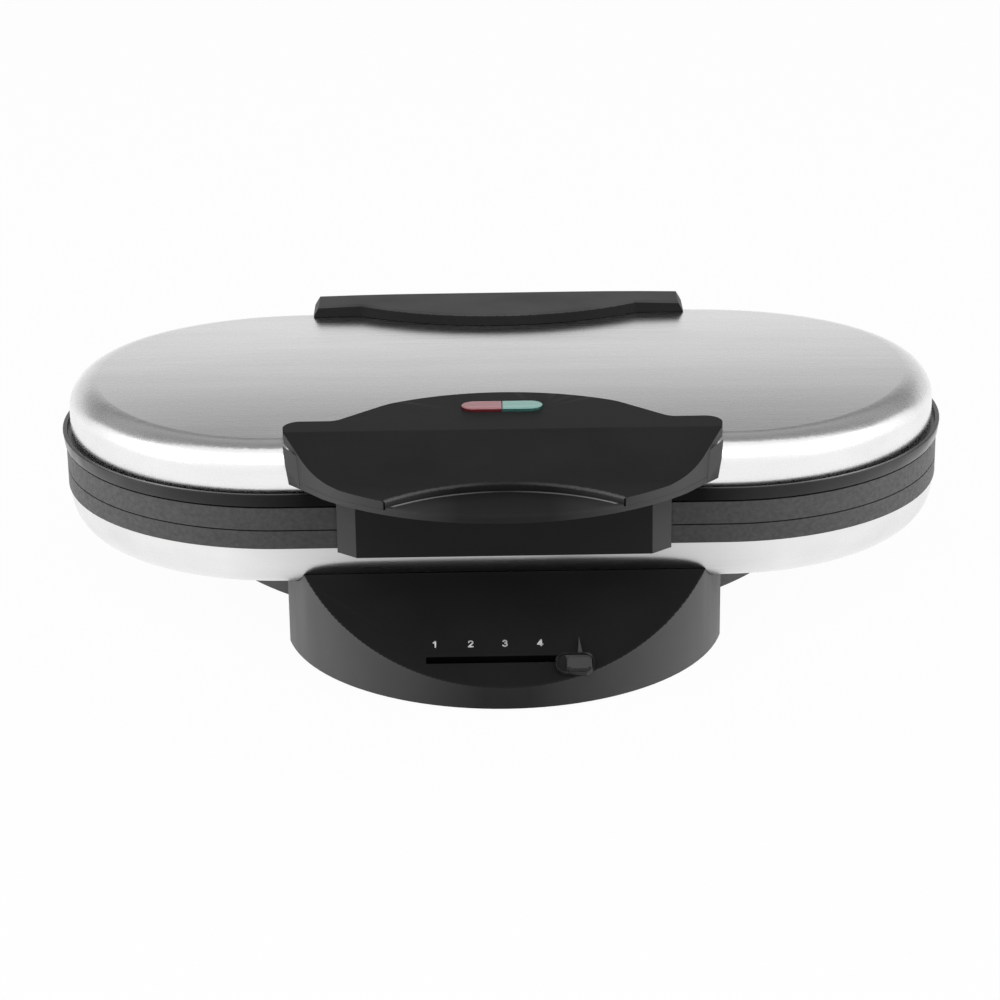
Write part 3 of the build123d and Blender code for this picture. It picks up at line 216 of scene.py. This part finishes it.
def plain_metal(name, dark, light, rough, size, strength=0.15):
    """Plated or bare metal with a mottled surface."""
    material, tree, bsdf = shader(name)
    mottle = place_noise(tree, (size, size, size), 5.0, 0.6)
    broad = place_noise(tree, (size / 9, size / 9, size / 9), 3.0, 0.5, (1.7, 0.0, 4.0))
    tree.links.new(colours(tree, broad, dark, light), bsdf.inputs["Base Color"])
    tree.links.new(spread(tree, mottle, rough - 0.06, rough + 0.08), bsdf.inputs["Roughness"])
    bsdf.inputs["Metallic"].default_value = 1.0
    bump(tree, bsdf, [(mottle, strength, 0.0002)])
    return material


def plastic(
    name, dark, light, rough, level=0.5, grain=1600.0, strength=0.12, shaded_middle=1.0, near=0.09, far=0.18
):
    """Moulded plastic with a fine grain; where the middle value is below 1, colour and gloss fall towards
    the middle of the body as painted shade.
    """
    material, tree, bsdf = shader(name)
    fine = place_noise(tree, (grain, grain, grain), 3.0, 0.6)
    broad = place_noise(tree, (26.0, 34.0, 30.0), 3.0, 0.5, (0.3, 2.2, 1.1))
    colour = colours(tree, broad, dark, light)
    if shaded_middle < 1.0:
        colour = shade_by(tree, colour, shade_toward_middle(tree, shaded_middle, 1.0, near, far))
        # Painted shade on the gloss: less reflection in the middle, standing in for the handle's dark
        # reflection.
        dimmed_sheen = shade_toward_middle(tree, shaded_middle * level, level, near, far)
        tree.links.new(dimmed_sheen, bsdf.inputs["Specular IOR Level"])
    tree.links.new(colour, bsdf.inputs["Base Color"])
    tree.links.new(spread(tree, broad, rough - 0.03, rough + 0.04), bsdf.inputs["Roughness"])
    bsdf.inputs["Specular IOR Level"].default_value = level
    bump(tree, bsdf, [(fine, strength, 0.00008)])
    return material


def cast(name, dark, light, rough):
    """Cast plate with a matt, speckled non-stick coat, with painted shade darkening it towards the middle.
    """
    material, tree, bsdf = shader(name)
    blotch = place_noise(tree, (420.0, 420.0, 520.0), 5.0, 0.62)
    fine = place_noise(tree, (1500.0, 1500.0, 1500.0), 3.0, 0.6, (0.5, 0.5, 0.5))
    # Painted shade: the coat is darkened towards the middle, next to the handle.
    colour = shade_by(tree, colours(tree, blotch, dark, light, 0.34, 0.68), shade_toward_middle(tree, 0.35, 1.0))
    tree.links.new(colour, bsdf.inputs["Base Color"])
    tree.links.new(spread(tree, blotch, rough + 0.08, rough - 0.06), bsdf.inputs["Roughness"])
    bsdf.inputs["Metallic"].default_value = 0.25
    bump(tree, bsdf, [(blotch, 0.12, 0.0004), (fine, 0.3, 0.0001)])
    return material


def lens_material(name, dark, light, clearness):
    """Tinted plastic that is a little clear, with fine ribs along it."""
    material, tree, bsdf = shader(name)
    ribs = place_noise(tree, (20.0, 900.0, 900.0), 3.0, 0.5)
    tree.links.new(colours(tree, ribs, dark, light), bsdf.inputs["Base Color"])
    tree.links.new(spread(tree, ribs, 0.16, 0.3), bsdf.inputs["Roughness"])
    bsdf.inputs["Subsurface Weight"].default_value = 0.35
    bsdf.inputs["Subsurface Radius"].default_value = (0.004, 0.004, 0.004)
    bsdf.inputs["Subsurface Scale"].default_value = 1.0
    bsdf.inputs["Transmission Weight"].default_value = clearness
    bsdf.inputs["Coat Weight"].default_value = 0.6
    bsdf.inputs["Coat Roughness"].default_value = 0.08
    bump(tree, bsdf, [(ribs, 0.12, 0.0002)])
    return material


def print_material():
    """White ink of the numerals."""
    material, tree, bsdf = shader("white_print")
    fine = place_noise(tree, (2400.0, 2400.0, 2400.0), 3.0)
    tree.links.new(colours(tree, fine, grey(0.72), grey(0.85)), bsdf.inputs["Base Color"])
    tree.links.new(spread(tree, fine, 0.45, 0.6), bsdf.inputs["Roughness"])
    bump(tree, bsdf, [(fine, 0.1, 0.00003)])
    return material


steel = brushed("brushed_steel_lid", (0.86, 0.86, 0.865), grey(0.92), 0.28, 900.0)
# The lower shell's steel is darkened in its middle: painted shade and painted reflection of the handle and
# apron above it.
pan_steel = brushed("brushed_steel_shell", grey(0.8), (0.87, 0.87, 0.865), 0.3, 700.0, 0.6, 0.07, 0.13)
coating = cast("plate_coating", (0.08, 0.08, 0.081), grey(0.12), 0.5)
panel_black = plastic("black_plastic_panel", grey(0.013), grey(0.016), 0.5, 0.05)
# Near-black for the slot's walls and the recess seams: painted shade in these gaps.
gap_shade_black = plastic("black_plastic_gap_shade", grey(0.0012), grey(0.002), 0.6, 0.01)
handle_black = plastic("black_plastic_handle", grey(0.019), grey(0.024), 0.5, 0.05)
# The hinge cover's top, lighter than its front: painted light on the lit top.
hinge_lit_black = plastic("black_plastic_hinge_lit", grey(0.055), grey(0.085), 0.5, 0.05)
# Darker copy for the handle's lower shell and the hinge cover's front: painted shade.
apron_shaded_black = plastic("black_plastic_apron_shaded", grey(0.009), grey(0.012), 0.45, 0.12)
# Sides of the base and rear housing, lighter than their tops as painted light, and darkened towards the
# middle as painted shade.
side_lit_black = plastic(
    "black_plastic_side_lit", grey(0.09), grey(0.11), 0.5, 0.35, shaded_middle=0.22, near=0.01, far=0.095
)
# Side band of the handle and its wing corners, lighter than its top as painted light, darker towards the
# middle as painted shade.
band_lit_black = plastic(
    "black_plastic_band_lit", grey(0.05), grey(0.062), 0.5, 0.4, shaded_middle=0.25, near=0.02, far=0.08
)
# Lighter, glossier copy for the handle's rounded edges: painted highlight.
edge_highlight_black = plastic("black_plastic_edge_highlight", grey(0.06), grey(0.08), 0.3, 0.5)
# The frame's black darkens towards the middle: painted shade and painted reflection of the handle.
black_frame = plastic("black_plastic_frame", grey(0.03), grey(0.045), 0.2, 0.4, 900.0, 0.03, 0.12)
# The knob's grip, dish and edges are copies of one plastic: the grip lighter as painted light, the dish
# darker as painted shade, the edges a painted highlight.
knob_plastic = plastic("knob_plastic", (0.06, 0.06, 0.061), grey(0.075), 0.35, 0.3)
knob_dish_shade = plastic("knob_dish_shade", grey(0.013), grey(0.017), 0.35, 0.2)
knob_edge_highlight = plastic("knob_edge_highlight", grey(0.2), grey(0.34), 0.25, 0.6)
cover_plastic = plastic("cover_plastic", grey(0.018), grey(0.026), 0.6, 0.4, 900.0, 0.3)
rubber = plastic("black_rubber", grey(0.012), grey(0.022), 0.75, 0.3, 700.0, 0.4)
pale_plastic = plastic("pale_plastic", (0.55, 0.52, 0.44), (0.66, 0.63, 0.55), 0.5, 0.5, 900.0, 0.1)
dark_steel = plain_metal("element_steel", (0.13, 0.115, 0.1), (0.24, 0.215, 0.19), 0.45, 500.0)
zinc = plain_metal("zinc_plated_steel", (0.5, 0.51, 0.52), (0.66, 0.66, 0.64), 0.32, 700.0)
screw_metal = plain_metal("screw_steel", (0.42, 0.42, 0.43), (0.58, 0.58, 0.57), 0.3, 1500.0)
sheet_metal = plain_metal("shield_sheet", grey(0.62), grey(0.76), 0.22, 250.0, 0.08)
fuse_metal = plain_metal("fuse_metal", (0.56, 0.54, 0.48), (0.7, 0.68, 0.62), 0.3, 900.0)
thermo_metal = plain_metal("thermostat_metal", (0.4, 0.4, 0.38), (0.55, 0.55, 0.52), 0.38, 600.0)
# Each lens has a lit copy for its top and bevels and a darker copy for its sides: painted shade on the
# sides.
red_face = lens_material("red_lens_face", (0.36, 0.10, 0.12), (0.47, 0.17, 0.19), 0.1)
red_shaded_side = lens_material("red_lens_shaded_side", (0.10, 0.006, 0.01), (0.16, 0.012, 0.018), 0.1)
green_face = lens_material("green_lens_face", (0.19, 0.47, 0.42), (0.28, 0.58, 0.52), 0.1)
green_shaded_side = lens_material("green_lens_shaded_side", (0.022, 0.10, 0.085), (0.04, 0.15, 0.13), 0.1)
lamp_glass = lens_material("lamp_glass", (0.75, 0.62, 0.5), (0.85, 0.75, 0.65), 0.5)
white_print = print_material()
# Lighter copy for the rolled edge at the back of the thumb recess: a painted highlight, dimmed towards the
# middle as painted shade.
roll_highlight_black = plastic(
    "black_plastic_roll_highlight", grey(0.07), grey(0.09), 0.4, 0.3, shaded_middle=0.3, near=0.005, far=0.05
)
# Grey of the thin line along the recess's foot: a painted highlight, dimmed towards the middle as painted
# shade.
recess_highlight_grey = plastic("recess_highlight_line", grey(0.1), grey(0.15), 0.3, 0.5, shaded_middle=0.2, near=0.002, far=0.045)

# Each node's materials: for its top, its sides, its rounded edges, and a part of its own. Where a node has
# several, they are copies of one material that differ by painted light and shade on tops, sides, edges and
# the part of its own.
MATERIALS = {
    "lid_cover": (steel,),
    "lower_shell": (pan_steel,),
    "lower_plate": (coating,),
    "upper_plate": (coating,),
    "lid_frame": (black_frame,),
    "bottom_cover": (cover_plastic,),
    "rubber_feet": (rubber,),
    "cord_gland": (rubber,),
    "cord_clamp": (pale_plastic,),
    "terminal_block": (pale_plastic,),
    "lamp_holder": (pale_plastic,),
    "knob_clip": (pale_plastic,),
    "selector_lever": (pale_plastic,),
    "thermostat": (thermo_metal,),
    "lower_heater": (dark_steel,),
    "upper_heater": (dark_steel,),
    "lower_heat_shield": (sheet_metal,),
    "upper_heat_shield": (sheet_metal,),
    "lower_thermal_fuse": (fuse_metal,),
    "upper_thermal_fuse": (fuse_metal,),
    "handle_bracket": (zinc,),
    "hinge_bracket": (zinc,),
    "hinge_pins": (zinc,),
    "neon_lamps": (lamp_glass,),
    "base_housing": (panel_black, side_lit_black, edge_highlight_black, gap_shade_black),
    "rear_housing": (panel_black, side_lit_black, edge_highlight_black),
    "handle_top": (handle_black, band_lit_black, edge_highlight_black, roll_highlight_black),
    "handle_base": (apron_shaded_black, apron_shaded_black, band_lit_black),
    "hinge_cover": (hinge_lit_black, apron_shaded_black, edge_highlight_black),
    "slider_knob": (knob_plastic, knob_dish_shade, knob_edge_highlight),
    "red_lens": (red_face, red_shaded_side, red_shaded_side),
    "green_lens": (green_face, green_shaded_side, green_shaded_side),
}


# How far past a part's own edge a face may lie and still belong to it
GRIP_SIDE_REACH = 0.0001
GRIP_END_REACH = 0.0008
SLOT_REACH = 0.0002
SLOT_DEEP = 0.0004
POINTER_START = 0.002    # up the slope from the slot
ROLL_WIDTH = 0.003


def on_grip(spot):
    """Whether a point lies on the knob's grip or its pointer, and not on its dish."""
    along = (spot.y - BODY_Y - SLOT_Y) / cos(TILT)
    across = spot.x - KNOB_X
    in_width = abs(across - GRIP_X) < GRIP_W / 2 + GRIP_SIDE_REACH
    in_depth = abs(along + GRIP_SHIFT) < GRIP_D / 2 + GRIP_END_REACH
    return in_width and in_depth or along > POINTER_START


def on_recess_edge(face):
    """Whether a face is part of the rolled edge along the back of the thumb recess."""
    away = hypot(face.center.x, face.center.y - BODY_Y - RECESS_Y + RECESS_R) - RECESS_R
    near = abs(face.center.x) < RECESS_X and -0.0005 < away < ROLL_WIDTH
    return near and 0.2 < face.normal.z < 0.97


def in_slot(spot):
    """Whether a point lies on the walls of the panel's slot."""
    across = abs(spot.x - SLOT_X) < SLOT_HALF
    along = abs(spot.y - BODY_Y - SLOT_Y) < SLOT_WIDTH / 2 + SLOT_REACH
    return across and along and spot.z < PANEL_Z + PANEL_SLOPE * (SLOT_Y - PANEL_Y) + SLOT_DEEP


for name, node in nodes.items():
    mesh = node.data
    mesh.materials.clear()
    looks = MATERIALS.get(name, (screw_metal,))
    for material in looks:
        mesh.materials.append(material)
    if len(looks) > 1:
        # The copies are handed out by slope and place: painted light and shade on tops and sides, painted
        # shade in the slot and the knob's dish, and a painted highlight on the recess's rolled edge and the
        # handle's rim.
        for face in mesh.polygons:
            face.material_index = 1 if abs(face.normal.z) < STEEP else 0
            if name == "handle_base" and (face.center.z > RIM_LOW or abs(face.normal.x) > STEEP):
                face.material_index = 2
            if name == "base_housing" and in_slot(face.center):
                face.material_index = 3
            if name == "handle_top" and on_recess_edge(face):
                face.material_index = 3
            if name == "slider_knob":
                face.material_index = 0 if on_grip(face.center) else 1


# Rounded edges, which the plain solids leave sharp

def soften(name, width, edge=-1):
    """Bevels a node's sharp edges, with one of its own materials or its neighbours'."""
    node = nodes[name]
    weld = node.modifiers.new("weld", "WELD")
    weld.merge_threshold = 0.00001
    bevel = node.modifiers.new("bevel", "BEVEL")
    bevel.width = width
    bevel.segments = 3
    bevel.limit_method = "ANGLE"
    bevel.angle_limit = radians(28.0)
    bevel.material = edge
    bevel.harden_normals = True


# The handle's and the knob's bevels take their lighter edge copy: a painted highlight on the rounded edges.
soften("handle_top", 0.0009, 2)
soften("handle_base", 0.0006)
soften("base_housing", 0.0006)
soften("slider_knob", 0.0004, 2)
soften("red_lens", 0.0004, 0)
soften("green_lens", 0.0004, 0)
soften("lid_frame", 0.0005)


# Pieces of the scene's own

def link_mesh(name, data, material):
    """Turns mesh data into an object of the scene."""
    mesh = bpy.data.meshes.new(name)
    data.to_mesh(mesh)
    data.free()
    mesh.materials.append(material)
    piece = bpy.data.objects.new(name, mesh)
    scene.collection.objects.link(piece)
    return piece


# Panel: numerals beside the slot

def panel_matrix(x, y, lift):
    """A frame on the control panel: its x to the right, its y up the slope, its z off the panel."""
    z = PANEL_Z + PANEL_SLOPE * (y - PANEL_Y)
    place = Matrix.Translation((x, BODY_Y + y, z)) @ Matrix.Rotation(TILT, 4, "X")
    return place @ Matrix.Translation((0, 0, lift))


def bow(x, y, radius, start, end):
    """Points on an arc, its angles in degrees."""
    angles = [radians(start + (end - start) * i / 10) for i in range(11)]
    return [(x + radius * cos(a), y + radius * sin(a)) for a in angles]


NUMERAL_Y = -0.1416
NUMERAL_H = 0.0032
NUMERAL_STROKE = 0.00072
NUMERAL_LIFT = 0.00006
NUMERALS = (
    ("one", -0.0325, [(-0.2, 0.26), (0.06, 0.5), (0.06, -0.5)]),
    ("two", -0.0162, bow(0.0, 0.22, 0.28, 165, -35) + [(-0.3, -0.5), (0.32, -0.5)]),
    ("three", -0.0006, bow(0.0, 0.25, 0.25, 155, -80) + bow(0.0, -0.22, 0.29, 80, -155)),
    ("four", 0.0155, [(0.34, -0.24), (-0.34, -0.24), (0.14, 0.5), (0.14, -0.5)]),
)


def add_numeral(name, x, points):
    """One printed numeral: flat bars with round ends along a line of points."""
    spots = [Vector((px * NUMERAL_H, py * NUMERAL_H, 0.0)) for px, py in points]
    half = NUMERAL_STROKE / 2
    data = bmesh.new()
    for a, b in zip(spots, spots[1:]):
        side = (b - a).normalized().cross(Vector((0, 0, 1))) * half
        data.faces.new([data.verts.new(p) for p in (a + side, b + side, b - side, a - side)])
    for spot in spots:
        place = Matrix.Translation(spot)
        bmesh.ops.create_circle(data, cap_ends=True, radius=half, segments=12, matrix=place)
    bmesh.ops.recalc_face_normals(data, faces=data.faces)
    label = link_mesh(f"numeral_{name}", data, white_print)
    label.matrix_world = panel_matrix(x, NUMERAL_Y, NUMERAL_LIFT)
    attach(label, "base")


for name, x, points in NUMERALS:
    add_numeral(name, x, points)


# Thumb recess: a painted highlight line along the foot of its rolled edge, and painted shade in the seam at
# each end

def lies_on_lid(data, name, material):
    """Adds a piece that moves with the lid, in the given material."""
    piece = link_mesh(name, data, material)
    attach(piece, "lid")


LINE_SHARE = 0.985       # of the recess's back, from end to end
LINE_STEPS = 24
LINE_RIDGE = ((0.0001, 0.0005), (0.0004, 0.0006), (0.0007, 0.0001))   # its inset and height
SEAM_SIZE = (0.0006, 0.0012, 0.0034)
SEAM_Z = 0.0949


def recess_arc(inset):
    """Points along the back of the recess, moved forwards by an inset."""
    reach = asin(RECESS_X / RECESS_R) * LINE_SHARE
    r = RECESS_R - inset
    turns = [reach * (i / LINE_STEPS - 1) for i in range(2 * LINE_STEPS + 1)]
    return [(r * sin(a), BODY_Y + RECESS_Y - RECESS_R + r * cos(a)) for a in turns]


# A thin grey ridge as a painted highlight along the foot of the recess's back.
def add_recess_highlight_line():
    data = bmesh.new()
    rows = []
    for inset, z in LINE_RIDGE:
        rows.append([data.verts.new((x, y, RECESS_FOOT_Z + z)) for x, y in recess_arc(inset)])
    for row, ahead in zip(rows, rows[1:]):
        for i in range(len(row) - 1):
            data.faces.new((row[i], ahead[i], ahead[i + 1], row[i + 1]))
    lies_on_lid(data, "recess_highlight_line", recess_highlight_grey)


# Near-black pieces in the seam at each end of the recess: painted shade in the gap.
def add_seams():
    for name, side in (("left_seam", -1), ("right_seam", 1)):
        data = bmesh.new()
        place = Matrix.Translation((side * (RECESS_X - 0.0004), BODY_Y + RECESS_SIDE_Y + 0.0002, SEAM_Z))
        bmesh.ops.create_cube(data, size=1.0, matrix=place @ Matrix.Diagonal((*SEAM_SIZE, 1.0)))
        lies_on_lid(data, name, gap_shade_black)


add_recess_highlight_line()
add_seams()


# Front corner of each wing of the handle, carried past the lid's wall

WING_CORNER = (
    (0.1009, -0.1045, 0.108), (0.0999, -0.1089, 0.1005), (0.0984, -0.109, 0.0907), (0.0945, -0.1083, 0.1042),
    (0.093, -0.1154, 0.0907), (0.1009, -0.104, 0.1078), (0.0999, -0.1079, 0.101), (0.0984, -0.1083, 0.0907),
    (0.093, -0.1083, 0.0907),
)


def add_wing_corner(name, side):
    """The hull of the corner's points, which stay just in front of the lid's wall."""
    data = bmesh.new()
    points = [data.verts.new((side * x, BODY_Y + y, z)) for x, y, z in WING_CORNER]
    hull = bmesh.ops.convex_hull(data, input=points)
    spare = [v for v in hull["geom_interior"] + hull["geom_unused"] if isinstance(v, bmesh.types.BMVert)]
    bmesh.ops.delete(data, geom=list(set(spare)), context="VERTS")
    bmesh.ops.recalc_face_normals(data, faces=data.faces)
    lies_on_lid(data, name, band_lit_black)


add_wing_corner("left_wing_corner", -1)
add_wing_corner("right_wing_corner", 1)


# Floor, world and lamps

FLOOR_GLOW = 0.96
CENTRE = (0.0, 0.0, 0.05)
FLAG_START, FLAG_END = 0.28, 0.58    # where a card's foot grey ends and its head grey starts


def seen_rays(tree):
    """1 for camera, glossy and transmission rays."""
    path = tree.nodes.new("ShaderNodeLightPath")
    total = path.outputs["Is Camera Ray"]
    for kind in ("Is Glossy Ray", "Is Transmission Ray"):
        node = tree.nodes.new("ShaderNodeMath")
        node.operation = "MAXIMUM"
        tree.links.new(total, node.inputs[0])
        tree.links.new(path.outputs[kind], node.inputs[1])
        total = node.outputs[0]
    return total


def add_floor():
    """A pale floor that keeps its shadow, and is nearly white where it is seen."""
    material, tree, out = bare_material("floor")
    diffuse = tree.nodes.new("ShaderNodeBsdfDiffuse")
    diffuse.inputs["Color"].default_value = (0.9, 0.9, 0.9, 1.0)
    glow = tree.nodes.new("ShaderNodeEmission")
    glow.inputs["Color"].default_value = (1.0, 1.0, 1.0, 1.0)
    mix = tree.nodes.new("ShaderNodeMixShader")
    share = tree.nodes.new("ShaderNodeMath")
    share.operation = "MULTIPLY"
    share.inputs[1].default_value = FLOOR_GLOW
    tree.links.new(seen_rays(tree), share.inputs[0])
    tree.links.new(share.outputs[0], mix.inputs[0])
    tree.links.new(diffuse.outputs[0], mix.inputs[1])
    tree.links.new(glow.outputs[0], mix.inputs[2])
    tree.links.new(mix.outputs[0], out.inputs[0])
    data = bmesh.new()
    bmesh.ops.create_circle(data, cap_ends=True, radius=6.0, segments=96)
    floor = link_mesh("floor", data, material)


def add_world():
    """White where it is seen, and a grey room for the light on matt faces."""
    world = bpy.data.worlds.new("studio")
    scene.world = world
    world.use_nodes = True
    tree = world.node_tree
    tree.nodes.clear()
    out = tree.nodes.new("ShaderNodeOutputWorld")
    white = tree.nodes.new("ShaderNodeBackground")
    white.inputs["Color"].default_value = (1.0, 1.0, 1.0, 1.0)
    room = tree.nodes.new("ShaderNodeBackground")
    room.inputs["Color"].default_value = (0.55, 0.55, 0.55, 1.0)
    mix = tree.nodes.new("ShaderNodeMixShader")
    tree.links.new(seen_rays(tree), mix.inputs[0])
    tree.links.new(room.outputs[0], mix.inputs[1])
    tree.links.new(white.outputs[0], mix.inputs[2])
    tree.links.new(mix.outputs[0], out.inputs[0])


def add_lamp(name, place, target, width, height, radiance):
    """A soft box that points at a target."""
    data = bpy.data.lights.new(name, "AREA")
    data.shape = "RECTANGLE"
    data.size = width
    data.size_y = height
    data.energy = radiance * pi * width * height
    lamp = bpy.data.objects.new(name, data)
    lamp.location = place
    lamp.rotation_euler = (Vector(target) - Vector(place)).to_track_quat("-Z", "Y").to_euler()
    lamp.visible_camera = False
    scene.collection.objects.link(lamp)


def add_flag(name, place, target, width, height, foot, head):
    """A grey card that only metal and gloss show, as a photographer hangs one. It has two greys."""
    material, tree, out = bare_material(name)
    glow = tree.nodes.new("ShaderNodeEmission")
    coord = tree.nodes.new("ShaderNodeTexCoord")
    split = tree.nodes.new("ShaderNodeSeparateXYZ")
    tree.links.new(coord.outputs["Object"], split.inputs[0])
    level = spread(tree, split.outputs["Y"], 0.0, 1.0, -height / 2, height / 2)
    tree.links.new(colours(tree, level, grey(foot), grey(head), FLAG_START, FLAG_END), glow.inputs["Color"])
    tree.links.new(glow.outputs[0], out.inputs[0])
    data = bmesh.new()
    bmesh.ops.create_grid(data, x_segments=1, y_segments=1, size=0.5)
    bmesh.ops.scale(data, vec=(width, height, 1.0), verts=data.verts)
    card = link_mesh(name, data, material)
    card.location = place
    card.rotation_euler = (Vector(target) - Vector(place)).to_track_quat("Z", "Y").to_euler()
    card.visible_camera = False
    card.visible_diffuse = False
    card.visible_shadow = False


add_camera()
add_floor()
add_world()
add_lamp("front_box", (0.0, -1.25, 1.35), CENTRE, 1.8, 0.9, 1.6)
add_lamp("left_box", (-1.6, -0.6, 0.9), CENTRE, 1.0, 1.0, 1.6)
add_lamp("right_box", (1.6, -0.6, 0.9), CENTRE, 1.0, 1.0, 1.6)
add_flag("back_flag", (0.0, 1.0, 0.6), (0.0, 0.0, 0.6), 4.0, 1.0, 0.78, 0.22)
add_flag("top_flag", (0.0, 0.46, 1.24), (0.0, 0.0, 0.0), 4.0, 1.2, 0.36, 0.26)
scene.view_settings.view_transform = "Standard"
